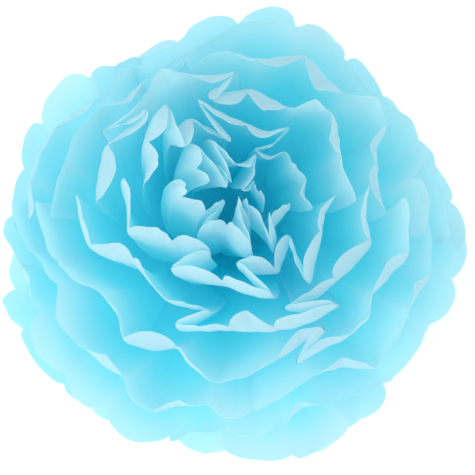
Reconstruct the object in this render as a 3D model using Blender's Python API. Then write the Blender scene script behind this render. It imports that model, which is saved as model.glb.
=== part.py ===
# Tissue paper pom pom.
# Twelve sheets of tissue are stacked, pleated together like a fan and tied round the middle with a
# wire. The ends of every pleat are cut round. Each sheet is then pulled away from its neighbour, so
# that it opens into a full ruffled ring, and the rings together make a ball.
# Metres, +Z up. The ball stands on the splayed hem of its lowest sheet, at z = 0.

import math

import bpy
from mathutils import Vector

# The paper
SHEET_COUNT = 12
SHEET_LENGTH = 0.350  # along the pleats, from cut end to cut end
SHEET_WIDTH = 0.500  # across the pleats
PLEAT_COUNT = 12
PAPER_THICKNESS = 0.0004
LOBE_DEPTH = 0.014  # how far the round cut end of a pleat stands past its creases

# The gathered waist
WAIST_WIDTH = 0.018  # width of the gathered pleats inside the tie
WAIST_LENGTH = 0.004  # stretch of each sheet under the wire, along the pleats
SHEET_PITCH = 0.0013  # from one sheet to the next inside the tie
GATHER_SLOPE = math.radians(32)  # slope of the pleats inside the tie, the same in all sheets
GATHER_REACH = 0.12  # share of a crease's length over which that gather opens out

# How the sheets are fluffed
TOP_LIFT = math.radians(81.5)  # slope of the top sheet, from its waist to its rim
BOTTOM_LIFT = math.radians(-68)
CUP_TURN = math.radians(42)  # how far the top and bottom sheets curl over their length
RUFFLE_SHARE = 0.85  # most of the room between two sheets that the creases take up
LEAST_RUFFLE = 0.8  # share of that room which even the flattest sheets use
HEART_RUFFLE = 0.0175  # most that the top sheet's creases stand off its narrow ring
BACK_STEP = 0.75  # how far a pleat turned back runs, as a share of the one before it
STEP_UNEVENNESS = 0.22  # how far the pleats' steps round the ring are from even
FOLD_LEAN = 0.9  # share of the ruffle's height on the two creases of a pleat turned back
PLAIN_LEAN = 0.7  # the same on the other creases
BESIDE_LEAN = 0.3  # the same beside a pleat turned back
SEAM_LEAN = 0.5  # the same on the side edges of the two halves
LOBE_CURL = math.radians(55)  # how far the cut ends bend over
CURL_SHARE = 0.55  # share of that bend which all ends of a sheet at 45 degrees have
CURL_UNEVENNESS = 0.7  # share of it by which the ends of a flat sheet differ
FAN_START = 0.5  # share of the half circle to which the pleats fan out right at the tie
FAN_END = 0.35  # share of the length where they have fanned out to all of it
SIDE_OVERLAP = math.radians(4)  # how far the side edges of the two halves pass each other
HEM_OVERLAP = math.radians(-1.5)  # the same for the lowest sheet, whose sides can't pass
RUFFLE_START = 0.06  # share of the length where the creases start to stand off the ring
RUFFLE_END = 0.35
SPREAD_START = 0.2  # share of the length where they start to spread unevenly along it
SPREAD_END = 0.72
UNEVENNESS = 0.009  # slow bulges and dents of the whole ball
UNEVENNESS_LENGTH = 0.170
STAND_HEIGHT = 0.140  # the tie above the table
SETTLING = 0.012  # height over which the lowest petals give way to the table
HEM_BEND = 0.92  # share of the lowest sheet's creases where its splayed hem starts

# The tie
FIT_GAP = 0.0003  # between pieces that touch
WIRE_DIAMETER = 0.001
TWIST_LENGTH = 0.014
TWIST_TURNS = 2.5

# How finely the solids are drawn
ROW_SHARES = (0.0, 0.07, 0.22, 0.45, 0.72, 1.0)  # rows between the waist and the creases' ends
HEM_ROW_SHARES = (0.0, 0.07, 0.22, 0.52, HEM_BEND, 1.0)  # the same for the lowest sheet
LOBE_OUTLINE = ((0.17, 0.72), (0.50, 1.0), (0.83, 0.72))  # across the pleat, share of the depth
TWIST_STEPS = 10  # points on one turn of the twist
BEND_STEPS = 4

# Worked out from the sizes above
PLEAT_WIDTH = SHEET_WIDTH / PLEAT_COUNT
CREASE_LENGTH = SHEET_LENGTH / 2 - WAIST_LENGTH / 2 - LOBE_DEPTH
LIFT_STEP = (TOP_LIFT - BOTTOM_LIFT) / (SHEET_COUNT - 1)
STACK_HEIGHT = (SHEET_COUNT - 1) * SHEET_PITCH + PAPER_THICKNESS
GATHER_HEIGHT = math.tan(GATHER_SLOPE) * WAIST_WIDTH / PLEAT_COUNT / 2
WIRE_RADIUS = WIRE_DIAMETER / 2
RUFFLE_ROOM = RUFFLE_SHARE * LIFT_STEP / 2 * CREASE_LENGTH

TISSUE_BLUE = (0.30, 0.78, 0.90, 1.0)
WIRE_GREY = (0.75, 0.76, 0.78, 1.0)


def scatter(sheet, item, kind):
    """A fixed, irregular number from -1 to 1 for each sheet, item and kind of irregularity."""
    value = math.sin(12.9898 * sheet + 78.233 * item + 37.719 * kind) * 43758.5453
    return 2 * (value - math.floor(value)) - 1


def smooth(share):
    """0 below 0, 1 above 1, with a soft change between."""
    share = min(max(share, 0.0), 1.0)
    return share * share * (3 - 2 * share)


def lift_of(sheet):
    return TOP_LIFT - sheet * LIFT_STEP


def cup_of(sheet):
    """The top sheets curl up and in, the bottom ones down and in, and the middle ones are flat."""
    return CUP_TURN * (1 - 2 * sheet / (SHEET_COUNT - 1))


def profile(sheet, distance):
    """Radius, height and slope of a sheet's middle surface at a distance along the paper."""
    turn = cup_of(sheet) * distance / CREASE_LENGTH
    start = lift_of(sheet) - cup_of(sheet) / 2
    chord = distance * (math.sin(turn / 2) / (turn / 2) if abs(turn) > 1e-6 else 1.0)
    angle = start + turn / 2
    height = ((SHEET_COUNT - 1) / 2 - sheet) * SHEET_PITCH
    return chord * math.cos(angle), height + chord * math.sin(angle), start + turn


def pleats_turned_back(sheet, half):
    """Pleats of one half sheet that lie folded back under the next one, as a ring this small needs."""
    if sheet == SHEET_COUNT - 1:
        return set()
    ring = math.pi * profile(sheet, CREASE_LENGTH)[0]
    spare = int((PLEAT_COUNT - ring / PLEAT_WIDTH) / 2 + 0.2)
    count = min(spare, PLEAT_COUNT // 4)
    inner = PLEAT_COUNT - 3
    found = {round(1.5 + (n + 0.5) * inner / max(count, 1)) for n in range(count)}
    shift = round(scatter(sheet, half, 1)) if count < 3 else 0
    return {pleat + shift for pleat in found}


def pleat_group(pleat, back):
    """A pleat turned back and the two beside it lie together and share the name of the first."""
    near = min(back, key=lambda b: abs(b - pleat), default=pleat)
    return near if abs(near - pleat) <= 1 else pleat


def fold_way(back, crease):
    """1 or -1: whether a folded pleat's first crease stands in or out, by turns round the ring."""
    return 1 if sorted(back).index(crease) % 2 == 0 else -1


def ruffle_height(sheet, forward):
    """How far creases stand off the ring, in and out, so that the pleats keep their full width."""
    chord = 2 * profile(sheet, CREASE_LENGTH)[0] * math.sin(math.pi / forward / 2)
    height = math.sqrt(max(PLEAT_WIDTH**2 - chord**2, 0.0)) / 2
    if sheet == 0:
        return min(height, HEART_RUFFLE)
    if sheet == SHEET_COUNT - 1:
        return height
    return min(max(height, LEAST_RUFFLE * RUFFLE_ROOM), RUFFLE_ROOM)


def crease_layout(sheet, half):
    """For each crease of a half sheet, its share of the half circle and how far it stands off."""
    back = pleats_turned_back(sheet, half)
    side = 1 if half == 0 else -1
    place, places = 0.0, [0.0]
    for pleat in range(PLEAT_COUNT):
        step = 1 + STEP_UNEVENNESS * scatter(sheet, pleat_group(pleat, back) + 20 * half, 11)
        place += -BACK_STEP * step if pleat in back else step
        places.append(place)
    height = ruffle_height(sheet, PLEAT_COUNT - (1 + BACK_STEP) * len(back))
    inwards = math.copysign(max(height - RUFFLE_ROOM, 0.0), lift_of(sheet))
    ruffles = []
    for crease in range(PLEAT_COUNT + 1):
        irregular = scatter(sheet, crease + 20 * half, 3)
        if crease in back:  # the pleat before it runs on, and the pleat after it turns back
            ruffle = fold_way(back, crease) * (FOLD_LEAN + (1 - FOLD_LEAN) * irregular)
        elif crease - 1 in back:
            ruffle = -fold_way(back, crease - 1) * (FOLD_LEAN + (1 - FOLD_LEAN) * irregular)
        elif crease in (0, PLEAT_COUNT):
            ruffle = SEAM_LEAN * side
        elif crease + 1 in back:  # the crease before such a fold leans its way, to leave it room
            ruffle = fold_way(back, crease + 1) * BESIDE_LEAN * abs(irregular)
        elif crease - 2 in back:
            ruffle = -fold_way(back, crease - 2) * BESIDE_LEAN * abs(irregular)
        else:
            ruffle = side * (PLAIN_LEAN + (1 - PLAIN_LEAN) * irregular)
            ruffle *= 1 if crease % 2 else -1
        ruffles.append(ruffle)
    return [p / place for p in places], [height * ruffle + inwards for ruffle in ruffles]


def settled(point):
    """The whole ball bulges and dents slowly, and its lowest petals give way to the table."""
    k = 2 * math.pi / UNEVENNESS_LENGTH
    x, y, z = point
    free = UNEVENNESS * smooth((point.length - 0.02) / 0.06)
    x += free * math.sin(k * point.y + 1.1) * math.cos(0.8 * k * point.z + 0.4)
    y += free * math.sin(k * point.z + 2.3) * math.cos(0.9 * k * point.x + 1.9)
    z += free * math.sin(k * point.x + 0.6) * math.cos(0.7 * k * point.y + 2.8)
    above = z + STAND_HEIGHT
    if above < SETTLING:
        above = SETTLING * math.exp(above / SETTLING - 1)
    return Vector((x, y, above))


def sheet_point(sheet, half, layout, crease, distance, curl=0.0):
    """A point of a sheet: crease may lie between two creases, and distance may pass their bend."""
    low = min(int(crease), PLEAT_COUNT - 1)
    bend = CREASE_LENGTH * (HEM_BEND if sheet == SHEET_COUNT - 1 else 1)
    beyond = max(distance - bend, 0.0)
    kept = min(distance, bend)
    share = kept / CREASE_LENGTH
    spread = smooth((share - SPREAD_START) / (SPREAD_END - SPREAD_START))
    ruffled = smooth((share - RUFFLE_START) / (RUFFLE_END - RUFFLE_START))
    gather = GATHER_HEIGHT * (1 - smooth(share / GATHER_REACH))
    radius, height, slope = profile(sheet, kept)
    fan = FAN_START + (1 - FAN_START) * smooth(share / FAN_END)
    overlap = spread * (HEM_OVERLAP if sheet == SHEET_COUNT - 1 else SIDE_OVERLAP)
    side = 1 if half == 0 else -1
    ends = []
    for end in (low, low + 1):
        even = end / PLEAT_COUNT
        place = even + (layout[0][end] - even) * spread
        angle = (half + 0.5) * math.pi + (place - 0.5) * (math.pi * fan + 2 * overlap)
        lean = layout[1][end] * share * ruffled
        out = radius - lean * math.sin(slope) + beyond * math.cos(slope + curl)
        up = height + lean * math.cos(slope) + beyond * math.sin(slope + curl)
        up += gather * (1 if end % 2 else -1)
        x = side * WAIST_WIDTH * (0.5 - even) + out * math.cos(angle)
        ends.append(Vector((x, side * WAIST_LENGTH / 2 + out * math.sin(angle), up)))
    return settled(ends[0].lerp(ends[1], crease - low))


def lobe_curl(sheet, half, pleat):
    """Cut ends bend in, most on sheets at 45 degrees, and unevenly, most on the flattest sheets."""
    if sheet == SHEET_COUNT - 1:
        return -profile(sheet, HEM_BEND * CREASE_LENGTH)[2]
    group = pleat_group(pleat, pleats_turned_back(sheet, half))
    lift = lift_of(sheet)
    uneven = scatter(sheet, group + 20 * half, 5) * math.cos(lift)
    return LOBE_CURL * (CURL_SHARE * math.sin(2 * lift) + CURL_UNEVENNESS * uneven)


def two_triangles(a, b, c, d):
    """A bent quad cut in the same way on both sides of the paper."""
    return [(a, b, c), (a, c, d)]


def half_sheet_mesh(sheet, half):
    """Points and faces of the middle surface of one half: rows of pleats, then their round ends."""
    layout = crease_layout(sheet, half)
    lowest = sheet == SHEET_COUNT - 1
    rows = HEM_ROW_SHARES if lowest else ROW_SHARES
    width = PLEAT_COUNT + 1
    points, faces = [], []
    for share in rows:
        for crease in range(width):
            curl = lobe_curl(sheet, half, 0) if lowest else 0.0
            point = sheet_point(sheet, half, layout, crease, share * CREASE_LENGTH, curl)
            if lowest and share >= HEM_BEND:
                point.z = PAPER_THICKNESS / 2
            points.append(point)
    for row in range(len(rows) - 1):
        for pleat in range(PLEAT_COUNT):
            a = row * width + pleat
            corners = [a, a + width, a + width + 1, a + 1]
            if pleat >= PLEAT_COUNT // 2:  # the two sides of the fan bend alike
                corners = corners[1:] + corners[:1]
            faces += two_triangles(*corners)
    for pleat in range(PLEAT_COUNT):
        a = (len(rows) - 1) * width + pleat
        curl = lobe_curl(sheet, half, pleat)
        tips = []
        for across, depth in LOBE_OUTLINE:
            far = CREASE_LENGTH + depth * LOBE_DEPTH
            point = sheet_point(sheet, half, layout, pleat + across, far, curl)
            if lowest:
                point.z = PAPER_THICKNESS / 2
            tips.append(len(points))
            points.append(point)
        faces += [(a, tips[0], tips[1]), (a, tips[1], a + 1), (tips[1], tips[2], a + 1)]
    return points, faces


def sheet_mesh(sheet):
    """Both halves of a sheet, joined by the gathered strip under the tie."""
    points, faces = half_sheet_mesh(sheet, 0)
    first = len(points)
    more_points, more_faces = half_sheet_mesh(sheet, 1)
    faces += [tuple(first + corner for corner in face) for face in more_faces]
    for pleat in range(PLEAT_COUNT):
        across = first + PLEAT_COUNT - pleat
        faces += two_triangles(pleat, pleat + 1, across - 1, across)
    return points + more_points, faces


def simple_material(name, colour, roughness, metallic):
    material = bpy.data.materials.new(name)
    material.use_nodes = True
    shader = material.node_tree.nodes["Principled BSDF"]
    shader.inputs["Base Color"].default_value = colour
    shader.inputs["Roughness"].default_value = roughness
    shader.inputs["Metallic"].default_value = metallic
    return material


def add_object(name, data, ball):
    thing = bpy.data.objects.new(name, data)
    bpy.context.collection.objects.link(thing)
    thing.parent = ball
    return thing


def make_sheet(sheet, ball):
    name = f"tissue_sheet_{sheet + 1:02d}"
    points, faces = sheet_mesh(sheet)
    mesh = bpy.data.meshes.new(name)
    mesh.from_pydata(points, [], faces)
    mesh.materials.append(simple_material(name + " tissue", TISSUE_BLUE, 0.9, 0.0))
    sheet_object = add_object(name, mesh, ball)
    wall = sheet_object.modifiers.new("paper", "SOLIDIFY")
    wall.thickness = PAPER_THICKNESS
    wall.offset = 0
    wall.use_even_offset = False
    wall.use_quality_normals = True
    return sheet_object


def wire_path():
    """The wire comes in along the twist, goes once round the waist and runs back along the twist."""
    side = WAIST_WIDTH / 2 + FIT_GAP + WIRE_RADIUS
    over = STACK_HEIGHT / 2 + GATHER_HEIGHT
    coil = WIRE_RADIUS + FIT_GAP / 3
    bend = FIT_GAP + WIRE_RADIUS
    steps = round(TWIST_TURNS * TWIST_STEPS)
    twist = []
    for step in range(steps + 1):
        angle = math.pi / 2 + 2 * math.pi * step / TWIST_STEPS
        x = side + coil + TWIST_LENGTH * step / steps
        twist.append((x, coil * math.cos(angle), coil * math.sin(angle)))
    loop = []
    for across, up, start in ((1, 1, 0), (-1, 1, 90), (-1, -1, 180), (1, -1, 270)):
        for step in range(BEND_STEPS + 1):
            angle = math.radians(start + 90 * step / BEND_STEPS)
            x = across * WAIST_WIDTH / 2 + bend * math.cos(angle)
            loop.append((x, 0.0, up * over + bend * math.sin(angle)))
    other = [(x, -y, -z) for x, y, z in twist]
    return [(x, y, z + STAND_HEIGHT) for x, y, z in twist[::-1] + loop + other]


def make_wire(ball):
    curve = bpy.data.curves.new("tie_wire", "CURVE")
    curve.dimensions = "3D"
    curve.bevel_depth = WIRE_RADIUS
    curve.bevel_resolution = 1
    curve.use_fill_caps = True
    path = wire_path()
    strand = curve.splines.new("POLY")
    strand.points.add(len(path) - 1)
    for spot, point in zip(strand.points, path):
        spot.co = (*point, 1.0)
    curve.materials.append(simple_material("tie wire metal", WIRE_GREY, 0.35, 1.0))
    add_object("tie_wire", curve, ball)


def clear_scene():
    for thing in list(bpy.data.objects):
        bpy.data.objects.remove(thing)


def build():
    clear_scene()
    ball = bpy.data.objects.new("pom_pom", None)
    bpy.context.collection.objects.link(ball)
    sheets = [make_sheet(sheet, ball) for sheet in range(SHEET_COUNT)]
    make_wire(ball)
    for axis in (0, 1):
        ends = [vertex.co[axis] for sheet in sheets for vertex in sheet.data.vertices]
        ball.location[axis] = -(max(ends) + min(ends)) / 2


build()
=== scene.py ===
# The looks of a tissue paper pom pom: pleated, tied and fluffed sheets as fine curved surfaces,
# with soft folds, curled ends and crinkles, in light blue tissue that lets light through.
# Metres, +Z up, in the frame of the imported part.

import bpy
import numpy as np
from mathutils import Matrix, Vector


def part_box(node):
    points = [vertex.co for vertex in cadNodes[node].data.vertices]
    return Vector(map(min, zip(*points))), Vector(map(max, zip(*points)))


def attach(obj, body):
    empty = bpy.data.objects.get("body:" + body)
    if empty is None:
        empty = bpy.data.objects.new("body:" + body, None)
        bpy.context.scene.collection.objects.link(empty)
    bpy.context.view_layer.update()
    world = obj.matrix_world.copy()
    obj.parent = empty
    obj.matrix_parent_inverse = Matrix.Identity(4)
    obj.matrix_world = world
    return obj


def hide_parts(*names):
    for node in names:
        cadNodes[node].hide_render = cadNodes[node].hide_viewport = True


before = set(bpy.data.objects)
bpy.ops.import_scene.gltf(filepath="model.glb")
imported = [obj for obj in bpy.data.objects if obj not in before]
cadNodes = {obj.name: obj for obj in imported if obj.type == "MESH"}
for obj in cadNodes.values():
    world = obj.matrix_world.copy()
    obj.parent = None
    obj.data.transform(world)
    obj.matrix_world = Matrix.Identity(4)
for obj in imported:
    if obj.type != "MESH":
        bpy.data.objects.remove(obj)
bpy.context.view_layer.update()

# One sheet of the stack, flat, and how it is tied: the part's own sizes
cut = {
    "sheets": 12,
    "length": 0.350,  # along the pleats, from cut end to cut end
    "width": 0.500,  # across the pleats
    "pleats": 12,
    "lobeDepth": 0.014,  # how far the round end of a pleat stands past its creases
    "waistWidth": 0.018,  # of the gathered pleats inside the tie
    "waistLength": 0.004,  # stretch of each sheet under the wire
    "pitch": 0.0013,  # from one sheet to the next inside the tie
    "wireWidth": 0.001,
    "fitGap": 0.0003,  # between the wire and the paper
}

# How the stack is gathered and fluffed, as in the part except for fanStart
fluff = {
    "gatherSlope": np.radians(32),  # of the pleats inside the tie
    "gatherReach": 0.12,  # share of a crease's length over which the gather opens out
    "topLift": np.radians(81.5),  # slope of the top sheet
    "bottomLift": np.radians(-68),
    "cupTurn": np.radians(42),  # how far the top and bottom sheets curl over their length
    "ruffleShare": 0.85,  # of the room between two sheets
    "leastRuffle": 0.8,  # share of that room which even the flattest sheets use
    "heartRuffle": 0.0175,  # most that the top sheet's creases stand off its narrow ring
    "spareRounding": 0.2,  # added before the pleats without room are counted, rounded down
    "backStep": 0.75,  # how far a pleat turned back runs, as a share of the one before it
    "stepUnevenness": 0.22,
    "foldLean": 0.9,  # share of the ruffle's height on the two creases of a pleat turned back
    "plainLean": 0.7,  # the same on the other creases
    "besideLean": 0.3,  # the same beside a pleat turned back
    "seamLean": 0.5,  # the same on the side edges of the two halves
    "lobeCurl": np.radians(55),  # how far the cut ends bend over
    "curlShare": 0.55,  # share of that bend which all ends of a sheet at 45 degrees have
    "curlUnevenness": 0.7,  # share of it by which the ends of a flat sheet differ
    "fanStart": 0.7,  # wider than in the part, so that no chink stays open beside the tie
    "fanEnd": 0.35,  # share of the length where the pleats have fanned out all the way
    "sideOverlap": np.radians(4),  # how far the side edges of the two halves pass each other
    "hemOverlap": np.radians(-1.5),  # the same for the lowest sheet
    "ruffle": (0.06, 0.35),  # shares of the length between which the ruffle grows
    "spread": (0.2, 0.72),  # the same for the pleats' uneven places round the ring
    "unevenness": 0.009,  # slow bulges and dents of the whole ball
    "unevennessLength": 0.170,
    "calmReach": 0.02,  # no bulges nearer to the tie than this
    "calmEdge": 0.06,  # over which they then grow
    "standHeight": 0.140,  # the tie above the table
    "settling": 0.012,  # height over which the lowest petals give way to the table
    "hemBend": 0.92,  # share of the lowest sheet's creases where its splayed hem starts
}

# What only the fine sheets have
softness = {
    "columns": 14,  # to each pleat
    "rows": 46,  # from the tie to the cut end
    "wall": 0.00018,  # thickness
    "foldRound": (0.04, 0.09),  # share of a pleat in a fold's bend, at the tie and at the rim
    "foldRoundBack": 0.06,  # the same at the rim where a pleat lies folded back
    "foldSharpen": 0.85,  # share of the height lost in a rounded fold that is given back
    "curlLead": 0.012,  # the curl starts this far inside the notches
    "curlReach": 0.018,  # and goes on for this long
    "curlMore": 1.65,  # soft ends bend this much further than the stiff ones of the part
    "bow": 0.0030,  # how far a pleat bulges between its folds
    "bowPower": 1.5,  # above 1, the bulge keeps clear of the folds
    "notchFill": 0.25,  # softened notches reach this share of the way out to the tips
    "lobePower": 2.2,  # 2 is an ellipse, and more is squarer
    "lobeFullness": 0.85,  # below 1, the ends are fuller
    "lobeUneven": 0.32,  # in depth
    "lobeLean": 0.35,  # how far a tip may sit off the middle of its pleat
    "rowPower": 1.25,  # above 1, the rows lie closer together towards the cut end
    "hemEdge": 0.06,  # share of the length over which the lowest sheet comes to lie flat
}

# Crinkles all over the paper, and a frill at its cut ends
crinkling = {
    "height": 0.00022,
    "trains": 7,  # of waves that cross each other
    "acrossTrains": 3,  # the first of them turn little from straight across the pleats
    "acrossTurn": 0.35,
    "halfTrains": 10,  # the second half's trains are numbered from here
    "leastLength": 0.012,
    "moreLength": 0.011,
    "fullLength": 0.02,  # a wave of this length has the full height
    "sharpness": 0.96,  # 1 would be a plain zigzag
    "bend": 0.7,
    "bendLength": 0.09,
    "patchAcross": 0.11,  # size of the patches where a train is strong
    "patchAlong": 0.13,
    "sumScale": 0.6,  # for the sum of all trains
    "growsOver": 0.5,  # share of the length over which the crinkles grow
    "frill": 0.0004,
    "frillLength": 0.021,
    "frillDrift": 2.2,
    "frillDriftLength": 0.083,
    "frillStart": 0.022,  # inside the notches
    "frillEdge": 0.03,
}

pleatWidth = cut["width"] / cut["pleats"]
creaseLength = cut["length"] / 2 - cut["waistLength"] / 2 - cut["lobeDepth"]
liftStep = (fluff["topLift"] - fluff["bottomLift"]) / (cut["sheets"] - 1)
gatherHeight = np.tan(fluff["gatherSlope"]) * cut["waistWidth"] / cut["pleats"] / 2
ruffleRoom = fluff["ruffleShare"] * liftStep / 2 * creaseLength
lastSheet = cut["sheets"] - 1
halfItems = 20  # the second half's pleats are numbered from here when they are scattered

# The tie's loop is built round the middle of the ball, so its place gives the ball's
wireLow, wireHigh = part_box("tie_wire")
ballX = wireLow.x + cut["waistWidth"] / 2 + cut["fitGap"] + cut["wireWidth"]
ballY = (wireLow.y + wireHigh.y) / 2


# A fixed, irregular number from -1 to 1: the fraction left of a large sine. Each use has its own
# kind.
def scatter(sheet, item, kind):
    value = np.sin(12.9898 * sheet + 78.233 * np.asarray(item) + 37.719 * kind) * 43758.5453
    return 2 * (value - np.floor(value)) - 1


# 0 below 0, 1 above 1, and a cubic between
def smooth(share):
    share = np.clip(share, 0.0, 1.0)
    return share * share * (3 - 2 * share)


def liftOf(sheet):
    return fluff["topLift"] - sheet * liftStep


# The top sheets curl up and in, the bottom ones down and in
def cupOf(sheet):
    return fluff["cupTurn"] * (1 - 2 * sheet / lastSheet)


# Radius, height and slope along an arc: the chord of the arc turns half as far as the arc does
def profile(sheet, distance):
    turn = cupOf(sheet) * distance / creaseLength
    start = liftOf(sheet) - cupOf(sheet) / 2
    chord = distance * np.sinc(turn / 2 / np.pi)
    height = (lastSheet / 2 - sheet) * cut["pitch"]
    angle = start + turn / 2
    return chord * np.cos(angle), height + chord * np.sin(angle), start + turn


# Pleats of half a sheet that lie folded back: half of those for which the ring has no room
def pleatsTurnedBack(sheet, half):
    if sheet == lastSheet:
        return np.array([], int)
    ring = np.pi * profile(sheet, creaseLength)[0]
    spare = int((cut["pleats"] - ring / pleatWidth) / 2 + fluff["spareRounding"])
    count = min(spare, cut["pleats"] // 4)
    inner = cut["pleats"] - 3
    shift = round(float(scatter(sheet, half, 1))) if count < 3 else 0
    found = [round(1.5 + (n + 0.5) * inner / max(count, 1)) + shift for n in range(count)]
    return np.array(found, int)


# A pleat turned back and its two neighbours share the first one's number
def pleatGroups(back):
    pleats = np.arange(cut["pleats"])
    if len(back) == 0:
        return pleats
    nearest = back[np.abs(pleats[:, None] - back[None, :]).argmin(axis=1)]
    return np.where(np.abs(nearest - pleats) <= 1, nearest, pleats)


# Half the height that, with the chord of one step round the ring, makes up a pleat's width
def ruffleHeight(sheet, forward):
    chord = 2 * profile(sheet, creaseLength)[0] * np.sin(np.pi / forward / 2)
    height = np.sqrt(max(pleatWidth**2 - chord**2, 0.0)) / 2
    if sheet == 0:
        return min(height, fluff["heartRuffle"])
    if sheet == lastSheet:
        return height
    return min(max(height, fluff["leastRuffle"] * ruffleRoom), ruffleRoom)


# Where each crease of half a sheet lies: its share of the half circle, by adding up the pleats'
# steps, and how far it stands off the ring, by turns in and out
def creaseLayout(sheet, half):
    back = pleatsTurnedBack(sheet, half)
    pleats = np.arange(cut["pleats"])
    creases = np.arange(cut["pleats"] + 1)
    side = 1 if half == 0 else -1
    groups = pleatGroups(back)
    isBack = np.isin(pleats, back)
    steps = 1 + fluff["stepUnevenness"] * scatter(sheet, groups + halfItems * half, 11)
    walk = np.concatenate([[0.0], np.cumsum(np.where(isBack, -fluff["backStep"], 1) * steps)])
    irregular = scatter(sheet, creases + halfItems * half, 3)
    firstFold = np.isin(creases, back)
    secondFold = np.isin(creases - 1, back)
    ways = np.zeros(len(creases) + 4)
    ways[np.sort(back)] = np.where(np.arange(len(back)) % 2, -1, 1)
    foldLean = fluff["foldLean"] + (1 - fluff["foldLean"]) * irregular
    plainLean = fluff["plainLean"] + (1 - fluff["plainLean"]) * irregular
    besideLean = fluff["besideLean"] * np.abs(irregular)
    ruffles = np.select(
        [
            firstFold,
            secondFold,
            (creases == 0) | (creases == cut["pleats"]),
            np.isin(creases + 1, back),
            np.isin(creases - 2, back),
        ],
        [
            ways[creases] * foldLean,
            -ways[creases - 1] * foldLean,
            np.full(len(creases), fluff["seamLean"] * side),
            ways[creases + 1] * besideLean,
            -ways[creases - 2] * besideLean,
        ],
        side * plainLean * np.where(creases % 2, 1, -1),
    )
    height = ruffleHeight(sheet, cut["pleats"] - (1 + fluff["backStep"]) * len(back))
    inwards = np.copysign(max(height - ruffleRoom, 0.0), liftOf(sheet))
    return {
        "places": walk / walk[-1],
        "leans": height * ruffles + inwards,
        "groups": groups,
        "isBack": isBack,
        "isFold": firstFold | secondFold,
    }


# How far each cut end bends over, pleat by pleat
def lobeCurls(sheet, half, layout):
    if sheet == lastSheet:
        return np.full(cut["pleats"], -profile(sheet, fluff["hemBend"] * creaseLength)[2])
    lift = liftOf(sheet)
    uneven = scatter(sheet, layout["groups"] + halfItems * half, 5) * np.cos(lift)
    bend = fluff["curlShare"] * np.sin(2 * lift) + fluff["curlUnevenness"] * uneven
    return fluff["lobeCurl"] * bend


# Slow bulges of the whole ball, products of sines of the place, and a floor that is neared
# exponentially but never reached
def settled(points):
    k = 2 * np.pi / fluff["unevennessLength"]
    x, y, z = points[..., 0], points[..., 1], points[..., 2]
    away = np.linalg.norm(points, axis=-1)
    free = fluff["unevenness"] * smooth((away - fluff["calmReach"]) / fluff["calmEdge"])
    newX = x + free * np.sin(k * y + 1.1) * np.cos(0.8 * k * z + 0.4)
    newY = y + free * np.sin(k * z + 2.3) * np.cos(0.9 * k * x + 1.9)
    newZ = z + free * np.sin(k * x + 0.6) * np.cos(0.7 * k * y + 2.8)
    above = newZ + fluff["standHeight"]
    settling = fluff["settling"]
    low = settling * np.exp(np.minimum(above / settling, 1) - 1)
    return np.stack([newX, newY, np.where(above < settling, low, above)], axis=-1)


# Points on crease lines: along the sheet's arc to the bend, then round a bend of steady curvature
def creasePoints(sheet, half, layout, crease, distance, curl, sharpen):
    side = 1 if half == 0 else -1
    bend = creaseLength * fluff["hemBend"] if sheet == lastSheet else creaseLength
    bend = bend - softness["curlLead"]
    kept = np.minimum(distance, bend)
    beyond = np.maximum(distance - bend, 0.0)
    share = kept / creaseLength
    spread = smooth((share - fluff["spread"][0]) / (fluff["spread"][1] - fluff["spread"][0]))
    ruffled = smooth((share - fluff["ruffle"][0]) / (fluff["ruffle"][1] - fluff["ruffle"][0]))
    gather = gatherHeight * (1 - smooth(share / fluff["gatherReach"]))
    fan = fluff["fanStart"] + (1 - fluff["fanStart"]) * smooth(share / fluff["fanEnd"])
    overlap = spread * (fluff["hemOverlap"] if sheet == lastSheet else fluff["sideOverlap"])
    radius, height, slope = profile(sheet, kept)
    even = crease / cut["pleats"]
    place = even + (layout["places"][crease] - even) * spread
    angle = (half + 0.5) * np.pi + (place - 0.5) * (np.pi * fan + 2 * overlap)
    bent = np.minimum(beyond, softness["curlReach"])
    rate = np.where(np.abs(curl) < 1e-4, 1e-4, curl) / softness["curlReach"]
    along = np.sin(rate * bent) / rate + (beyond - bent) * np.cos(curl)
    off = (1 - np.cos(rate * bent)) / rate + (beyond - bent) * np.sin(curl)
    lean = layout["leans"][crease] * share * ruffled * sharpen + off
    out = radius - lean * np.sin(slope) + along * np.cos(slope)
    up = height + lean * np.cos(slope) + along * np.sin(slope)
    up = up + gather * np.where(crease % 2, 1, -1)
    x = side * cut["waistWidth"] * (0.5 - even) + out * np.cos(angle)
    y = side * cut["waistLength"] / 2 + out * np.sin(angle)
    return np.stack([x, y, up], axis=-1)


# Weights of four creases for a point between the middle two: straight from one to the other, with
# each fold rounded by a quadratic Bezier whose middle point is the crease
def foldWeights(part, roundLow, roundHigh):
    weights = [np.zeros_like(part), 1 - part, part.copy(), np.zeros_like(part)]
    nearLow = part < roundLow
    q = np.clip((part + roundLow) / (2 * roundLow), 0, 1)
    lowSet = [
        (1 - q) ** 2 * roundLow,
        ((1 - q) ** 2 + q**2) * (1 - roundLow) + 2 * q * (1 - q),
        q**2 * roundLow,
        np.zeros_like(part),
    ]
    nearHigh = part > 1 - roundHigh
    q = np.clip((part - 1 + roundHigh) / (2 * roundHigh), 0, 1)
    highSet = [
        np.zeros_like(part),
        (1 - q) ** 2 * roundHigh,
        ((1 - q) ** 2 + q**2) * (1 - roundHigh) + 2 * q * (1 - q),
        q**2 * roundHigh,
    ]
    for n in range(4):
        weights[n] = np.where(nearLow, lowSet[n], weights[n])
        weights[n] = np.where(nearHigh, highSet[n], weights[n])
    return weights


# A soft triangle wave: the arc sine of a slightly flattened sine
def creasedWave(phase):
    sharpness = crinkling["sharpness"]
    return np.arcsin(sharpness * np.sin(phase)) / np.arcsin(sharpness)


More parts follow.
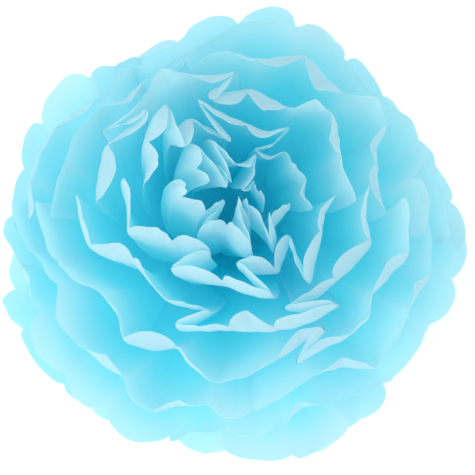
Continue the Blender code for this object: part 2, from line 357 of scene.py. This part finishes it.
# Off-surface offset of the paper at flat places (across, along): crossing trains of creased
# waves, stronger where a slow wave is high, and a frill that grows towards the cut end
def crinkles(sheet, half, across, along, pastRim):
    look = crinkling
    total = np.zeros_like(across)
    for n in range(look["trains"]):
        item = n + look["halfTrains"] * half
        turn = look["acrossTurn"] if n < look["acrossTrains"] else 1.0
        direction = 0.5 * np.pi * (1 + scatter(sheet, item, 21)) * turn
        length = look["leastLength"] + look["moreLength"] * (1 + scatter(sheet, item, 22))
        phase = np.pi * scatter(sheet, item, 23)
        way = across * np.cos(direction) + along * np.sin(direction)
        bend = look["bend"] * np.sin(2 * np.pi * along / look["bendLength"] + 5 * phase)
        patch = across / look["patchAcross"] - along / look["patchAlong"]
        slow = 0.5 + 0.5 * np.sin(2 * np.pi * patch + 9 * phase)
        wave = creasedWave(2 * np.pi * way / length + bend + phase)
        total += slow * length / look["fullLength"] * wave
    reach = smooth(along / creaseLength / look["growsOver"])
    drift = look["frillDrift"] * np.sin(2 * np.pi * across / look["frillDriftLength"] + sheet)
    frillPhase = 2 * np.pi * across / look["frillLength"] + drift
    frill = look["frill"] * smooth(pastRim) * np.sin(frillPhase + 3 * half)
    return look["height"] * reach * total * look["sumScale"] + frill


# Round end of a pleat: share of the lobe's depth at a place across it, with its top off the
# middle where lean isn't 0
def lobeOutline(part, lean):
    offMiddle = np.abs(2 * part ** np.exp(lean) - 1)
    return (1 - offMiddle ** softness["lobePower"]) ** softness["lobeFullness"]


# The middle surface of half a sheet, as a grid: across the pleats by the distance from the tie
def halfSurface(sheet, half):
    pleats = cut["pleats"]
    layout = creaseLayout(sheet, half)
    across = np.linspace(0, pleats, pleats * softness["columns"] + 1)
    down = 1 - (1 - np.linspace(0, 1, softness["rows"] + 1)) ** softness["rowPower"]
    low = np.minimum(across.astype(int), pleats - 1)
    part = (across - low)[:, None]
    items = low + halfItems * half
    depth = cut["lobeDepth"] * (1 + softness["lobeUneven"] * scatter(sheet, items, 6))
    lean = softness["lobeLean"] * scatter(sheet, items, 8)
    fill = softness["notchFill"]
    ends = creaseLength + depth * (fill + (1 - fill) * lobeOutline(part[:, 0], lean))
    distance = ends[:, None] * down[None, :]
    share = distance / creaseLength

    curls = lobeCurls(sheet, half, layout) * (1 if sheet == lastSheet else softness["curlMore"])
    curl = np.interp(across, np.arange(pleats) + 0.5, curls)[:, None] + 0 * distance
    nearTie, nearRim = softness["foldRound"]
    rims = np.where(layout["isFold"], softness["foldRoundBack"], nearRim)
    rounds = nearTie + (rims[:, None, None] - nearTie) * smooth(share)[None]
    columns = np.arange(len(across))
    roundLow, roundHigh = rounds[low, columns], rounds[low + 1, columns]
    weights = foldWeights(part + 0 * distance, roundLow, roundHigh)

    # Four creases share in each point. Past a side edge, the missing crease is put straight on,
    # so that the edge itself isn't rounded.
    points = 0
    for n, weight in enumerate(weights):
        crease = low + n - 1
        inside = np.clip(crease, 0, pleats)
        sharpen = 1 / (1 - softness["foldSharpen"] * rounds[inside, columns])
        spot = creasePoints(sheet, half, layout, inside[:, None], distance, curl, sharpen)
        mirror = np.where(crease < 0, 1, np.where(crease > pleats, pleats - 1, inside))
        other = creasePoints(sheet, half, layout, mirror[:, None], distance, curl, sharpen)
        outside = (crease != inside)[:, None, None]
        points = points + weight[..., None] * np.where(outside, 2 * spot - other, spot)

    normal = np.cross(np.gradient(points, axis=1), np.gradient(points, axis=0))
    normal /= np.linalg.norm(normal, axis=-1, keepdims=True) + 1e-12
    facing = scatter(sheet, layout["groups"] + halfItems * half, 7)
    facing = np.where(layout["isBack"], -facing, facing)
    bulge = np.sin(np.pi * part) ** softness["bowPower"]
    bow = softness["bow"] * facing[low][:, None] * bulge * smooth(share)
    pastRim = (distance - creaseLength + crinkling["frillStart"]) / crinkling["frillEdge"]
    flatAcross = across[:, None] * pleatWidth + 0 * distance
    fine = crinkles(sheet, half, flatAcross, distance, pastRim)
    points = settled(points + normal * (bow + fine)[..., None])
    if sheet == lastSheet:
        hemEdge = softness["hemEdge"]
        hem = smooth((distance / creaseLength - fluff["hemBend"] + hemEdge) / hemEdge)
        points[..., 2] += (softness["wall"] / 2 - points[..., 2]) * hem
    flat = np.stack([flatAcross, distance * (1 - 2 * half)], axis=-1)
    return points, flat, ends[:, None] - distance


# Quads of a grid with rows x columns points, point numbers counted row by row
def gridQuads(rows, columns, first):
    a = first + (np.arange(rows - 1)[:, None] * columns + np.arange(columns - 1)[None, :])
    return np.stack([a, a + 1, a + columns + 1, a + columns], axis=-1).reshape(-1, 4)


# The paper's flat place is kept as a UV map in metres, and its distance from the cut end as a
# value. The sheet's own edges are sharp, so that the wall's narrow sides don't darken its ends.
def meshFromArrays(name, points, faces, uv, inside):
    starts = np.arange(0, faces.size, faces.shape[1], dtype=np.int32)
    mesh = bpy.data.meshes.new(name)
    mesh.vertices.add(len(points))
    mesh.vertices.foreach_set("co", np.ascontiguousarray(points, np.float32).ravel())
    mesh.loops.add(faces.size)
    mesh.loops.foreach_set("vertex_index", np.ascontiguousarray(faces, np.int32).ravel())
    mesh.polygons.add(len(faces))
    mesh.polygons.foreach_set("loop_start", starts)
    mesh.update(calc_edges=True)
    mesh.validate()
    layer = mesh.uv_layers.new(name="flat paper")
    layer.data.foreach_set("uv", np.ascontiguousarray(uv[faces.ravel()], np.float32).ravel())
    fromEnd = mesh.attributes.new("from cut end", "FLOAT", "POINT")
    fromEnd.data.foreach_set("value", np.ascontiguousarray(inside, np.float32))
    mesh.shade_smooth()
    edgeOfLoop = np.empty(faces.size, np.int32)
    mesh.loops.foreach_get("edge_index", edgeOfLoop)
    isRim = np.bincount(edgeOfLoop, minlength=len(mesh.edges)) == 1  # edges of one face only
    mesh.edges.foreach_set("use_edge_sharp", isRim)
    return mesh


# Both halves of a sheet, joined by the strip under the tie
def makeSheet(sheet, material):
    name = f"tissue_sheet_{sheet + 1:02d}"
    grids = [halfSurface(sheet, half) for half in (0, 1)]
    wide, shadedColour = grids[0][0].shape[:2]
    count = wide * shadedColour
    points = np.concatenate([grid[0].reshape(-1, 3) for grid in grids])
    points = points + np.array([ballX, ballY, 0.0])
    uv = np.concatenate([grid[1].reshape(-1, 2) for grid in grids])
    inside = np.concatenate([grid[2].ravel() for grid in grids])
    tie = np.arange(wide - 1)
    near, far = tie * shadedColour, count + (wide - 1 - tie) * shadedColour
    strip = np.stack([near + shadedColour, near, far, far - shadedColour], axis=-1)
    faces = np.concatenate([gridQuads(wide, shadedColour, 0), gridQuads(wide, shadedColour, count), strip])
    mesh = meshFromArrays("fine_" + name, points, faces, uv, inside)
    piece = bpy.data.objects.new("fine_" + name, mesh)
    bpy.context.scene.collection.objects.link(piece)
    piece.data.materials.append(material)
    wall = piece.modifiers.new("wall", "SOLIDIFY")
    wall.thickness = softness["wall"]
    wall.offset = 0
    facing = piece.modifiers.new("facing", "WEIGHTED_NORMAL")
    facing.keep_sharp = True
    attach(piece, "root")
    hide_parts(name)
    return piece


# Tissue: pale where light is thrown back, deeper where it passes. Painted shade makes it deeper
# towards the tie, where light passes many sheets deep in the ball, and painted light makes it
# paler towards the cut ends; a painted highlight lightens the cut edge. The thin wall scatters
# light once, where it goes in, and lets it out unchanged.
tissueLook = {
    # Colours with painted shade near the tie and painted light near the cut ends
    "nearTie": (0.28, 0.915, 0.99, 1.0),
    "litNearEnd": (0.70, 0.915, 0.97, 1.0),
    "shadedThroughTie": (0.17, 0.93, 0.997, 1.0),
    "litThroughEnd": (0.44, 0.925, 0.99, 1.0),
    # A painted highlight along the cut edge, this colour over the width given below
    "rim": (0.66, 0.96, 0.99, 1.0),
    # The painted shade near the tie gives way to painted light from here out to the cut end
    "shadeLiftStart": 0.060,  # this far inside the cut end, the paper starts to turn paler
    "rimWidth": 0.0009,
    "throughShare": 0.44,  # of the light passes through, and the rest is thrown back
    "roughness": 0.85,
    "specular": 0.25,
    "fibreScale": 260.0,
    "fibreDetail": 2,
    "fibreHeight": 0.00012,
}


def addSocket(tree, name, kind, way):
    return tree.interface.new_socket(name=name, in_out=way, socket_type=kind)


# Mark that is 1 on the cut end and falls to 0 at the reach inside it, by a cubic
def cutEndGroup():
    tree = bpy.data.node_groups.new("cut end mark", "ShaderNodeTree")
    addSocket(tree, "Reach", "NodeSocketFloat", "INPUT")
    addSocket(tree, "Mark", "NodeSocketFloat", "OUTPUT")
    nodes, links = tree.nodes, tree.links
    given = nodes.new("NodeGroupInput")
    result = nodes.new("NodeGroupOutput")
    inside = nodes.new("ShaderNodeAttribute")
    inside.attribute_name = "from cut end"
    ramp = nodes.new("ShaderNodeMapRange")
    ramp.interpolation_type = "SMOOTHSTEP"
    ramp.inputs["From Max"].default_value = 0.0
    links.new(given.outputs["Reach"], ramp.inputs["From Min"])
    links.new(inside.outputs["Fac"], ramp.inputs["Value"])
    links.new(ramp.outputs["Result"], result.inputs["Mark"])
    return tree


# Cloudy fibres of the paper, as a normal
def paperReliefGroup():
    tree = bpy.data.node_groups.new("paper relief", "ShaderNodeTree")
    addSocket(tree, "Scale", "NodeSocketFloat", "INPUT")
    addSocket(tree, "Height", "NodeSocketFloat", "INPUT")
    addSocket(tree, "Normal", "NodeSocketVector", "OUTPUT")
    nodes, links = tree.nodes, tree.links
    given = nodes.new("NodeGroupInput")
    result = nodes.new("NodeGroupOutput")
    place = nodes.new("ShaderNodeUVMap")
    place.uv_map = "flat paper"
    fibres = nodes.new("ShaderNodeTexNoise")
    fibres.noise_dimensions = "2D"
    fibres.inputs["Detail"].default_value = tissueLook["fibreDetail"]
    bump = nodes.new("ShaderNodeBump")
    links.new(given.outputs["Scale"], fibres.inputs["Scale"])
    links.new(given.outputs["Height"], bump.inputs["Distance"])
    links.new(place.outputs["UV"], fibres.inputs["Vector"])
    links.new(fibres.outputs["Fac"], bump.inputs["Height"])
    links.new(bump.outputs["Normal"], result.inputs["Normal"])
    return tree


# A node group in a material, with its inputs set to the material's own values
def placeGroup(nodes, tree, values):
    node = nodes.new("ShaderNodeGroup")
    node.node_tree = tree
    for name, value in values.items():
        node.inputs[name].default_value = value
    return node


# Painted shade deep in the ball and painted light at the cut ends, with a painted highlight along
# the rim over both. A Mix node's colours are its sockets 6 and 7, and its mixed colour is socket
# 2.
def shadedPaperColour(nodes, links, shadeLift, rimHighlightMark, shadedColour, litColour):
    along = nodes.new("ShaderNodeMix")
    along.data_type = "RGBA"
    along.inputs[6].default_value = shadedColour
    along.inputs[7].default_value = litColour
    links.new(shadeLift.outputs["Mark"], along.inputs[0])
    rim = nodes.new("ShaderNodeMix")
    rim.data_type = "RGBA"
    rim.inputs[7].default_value = tissueLook["rim"]
    links.new(rimHighlightMark.outputs["Mark"], rim.inputs[0])
    links.new(along.outputs[2], rim.inputs[6])
    return rim.outputs[2]


# Light is thrown back or passed through where it meets the wall, and goes out of it unchanged
def tissueMaterial():
    material = bpy.data.materials.new("light blue tissue")
    material.use_nodes = True
    nodes, links = material.node_tree.nodes, material.node_tree.links
    nodes.clear()
    output = nodes.new("ShaderNodeOutputMaterial")
    blend = nodes.new("ShaderNodeMixShader")
    paper = nodes.new("ShaderNodeBsdfPrincipled")
    glow = nodes.new("ShaderNodeBsdfTranslucent")
    paper.inputs["Roughness"].default_value = tissueLook["roughness"]
    paper.inputs["Specular IOR Level"].default_value = tissueLook["specular"]
    blend.inputs["Fac"].default_value = tissueLook["throughShare"]
    cutEnd = cutEndGroup()
    shadeLift = placeGroup(nodes, cutEnd, {"Reach": tissueLook["shadeLiftStart"]})
    rimHighlightMark = placeGroup(nodes, cutEnd, {"Reach": tissueLook["rimWidth"]})
    fibres = {"Scale": tissueLook["fibreScale"], "Height": tissueLook["fibreHeight"]}
    relief = placeGroup(nodes, paperReliefGroup(), fibres)
    # Both colours carry painted shade near the tie, painted light near the cut ends and a painted
    # highlight on the cut edge
    marks = (nodes, links, shadeLift, rimHighlightMark)
    thrown = shadedPaperColour(*marks, tissueLook["nearTie"], tissueLook["litNearEnd"])
    passed = shadedPaperColour(*marks, tissueLook["shadedThroughTie"], tissueLook["litThroughEnd"])
    links.new(thrown, paper.inputs["Base Color"])
    links.new(passed, glow.inputs["Color"])
    links.new(relief.outputs["Normal"], paper.inputs["Normal"])
    links.new(relief.outputs["Normal"], glow.inputs["Normal"])
    links.new(paper.outputs["BSDF"], blend.inputs[1])
    links.new(glow.outputs["BSDF"], blend.inputs[2])

    side = nodes.new("ShaderNodeNewGeometry")  # light that leaves the wall meets it from behind
    leave = nodes.new("ShaderNodeMixShader")
    clear = nodes.new("ShaderNodeBsdfTransparent")
    links.new(side.outputs["Backfacing"], leave.inputs["Fac"])
    links.new(blend.outputs["Shader"], leave.inputs[1])
    links.new(clear.outputs["BSDF"], leave.inputs[2])
    links.new(leave.outputs["Shader"], output.inputs["Surface"])
    return material


# The tie: dull plain wire
wireLook = {
    "colour": (0.26, 0.30, 0.33, 1.0),
    "metallic": 1.0,
    "roughness": 0.55,
}


def dressWire():
    material = bpy.data.materials.new("tie wire steel")
    material.use_nodes = True
    shader = material.node_tree.nodes["Principled BSDF"]
    shader.inputs["Base Color"].default_value = wireLook["colour"]
    shader.inputs["Metallic"].default_value = wireLook["metallic"]
    shader.inputs["Roughness"].default_value = wireLook["roughness"]
    wire = cadNodes["tie_wire"]
    wire.data.materials.clear()
    wire.data.materials.append(material)
    wire.data.shade_smooth()


# White floor, white surroundings, and a soft light from the lower left of the picture
studio = {
    "floorSize": 40.0,
    "floorColour": (0.90, 0.90, 0.90, 1.0),
    "floorRoughness": 0.9,
    "floorGlowColour": (1.0, 1.0, 1.0, 1.0),
    "floorGlow": 0.46,  # the white floor is lit from below, as a light table
    "world": 0.81,
    "worldColour": (0.90, 0.97, 1.0, 1.0),
    "keyColour": (1.0, 0.94, 0.92),
    "keyFrom": (-1.15, -0.95, 1.45),
    "keySize": 1.0,
    "keyPower": 10.0,
    "cameraElevation": np.radians(78),
    "cameraDistance": 1.385,
    "cameraAim": (-0.001, 0.0, 0.150),
    "lens": 135.0,  # mm, as the sensor's width
    "sensor": 36.0,
    "gamma": 1.18,
    "paperBounces": 13,  # thin paper passes light on many times
}


def makeStudio():
    scene = bpy.context.scene
    world = bpy.data.worlds.new("white studio")
    scene.world = world
    world.use_nodes = True
    sky = world.node_tree.nodes["Background"]
    sky.inputs["Color"].default_value = studio["worldColour"]
    sky.inputs["Strength"].default_value = studio["world"]

    half = studio["floorSize"] / 2
    floorMesh = bpy.data.meshes.new("floor")
    corners = [(-half, -half, 0), (half, -half, 0), (half, half, 0), (-half, half, 0)]
    floorMesh.from_pydata(corners, [], [(0, 1, 2, 3)])
    floor = bpy.data.objects.new("floor", floorMesh)
    scene.collection.objects.link(floor)
    floorMaterial = bpy.data.materials.new("white floor")
    floorMaterial.use_nodes = True
    shader = floorMaterial.node_tree.nodes["Principled BSDF"]
    shader.inputs["Base Color"].default_value = studio["floorColour"]
    shader.inputs["Roughness"].default_value = studio["floorRoughness"]
    shader.inputs["Emission Color"].default_value = studio["floorGlowColour"]
    shader.inputs["Emission Strength"].default_value = studio["floorGlow"]
    floorMesh.materials.append(floorMaterial)

    keyData = bpy.data.lights.new("key", "AREA")
    keyData.energy = studio["keyPower"]
    keyData.size = studio["keySize"]
    keyData.color = studio["keyColour"]
    key = bpy.data.objects.new("key", keyData)
    scene.collection.objects.link(key)
    key.location = studio["keyFrom"]
    aim = Vector(studio["cameraAim"])
    key.rotation_euler = (aim - key.location).to_track_quat("-Z", "Y").to_euler()

    cameraData = bpy.data.cameras.new("camera")
    cameraData.lens = studio["lens"]
    cameraData.sensor_width = studio["sensor"]
    camera = bpy.data.objects.new("camera", cameraData)
    scene.collection.objects.link(camera)
    tilt = studio["cameraElevation"]
    away = Vector((0.0, -np.cos(tilt), np.sin(tilt)))
    camera.location = aim + away * studio["cameraDistance"]
    camera.rotation_euler = (-away).to_track_quat("-Z", "Y").to_euler()
    scene.camera = camera
    scene.view_settings.view_transform = "Standard"
    scene.view_settings.gamma = studio["gamma"]
    scene.cycles.diffuse_bounces = studio["paperBounces"]
    scene.cycles.transmission_bounces = studio["paperBounces"]
    scene.cycles.max_bounces = studio["paperBounces"]


print("tissue sheets")
tissue = tissueMaterial()
for sheetNumber in range(cut["sheets"]):
    makeSheet(sheetNumber, tissue)
print("tie wire")
dressWire()
print("studio")
makeStudio()
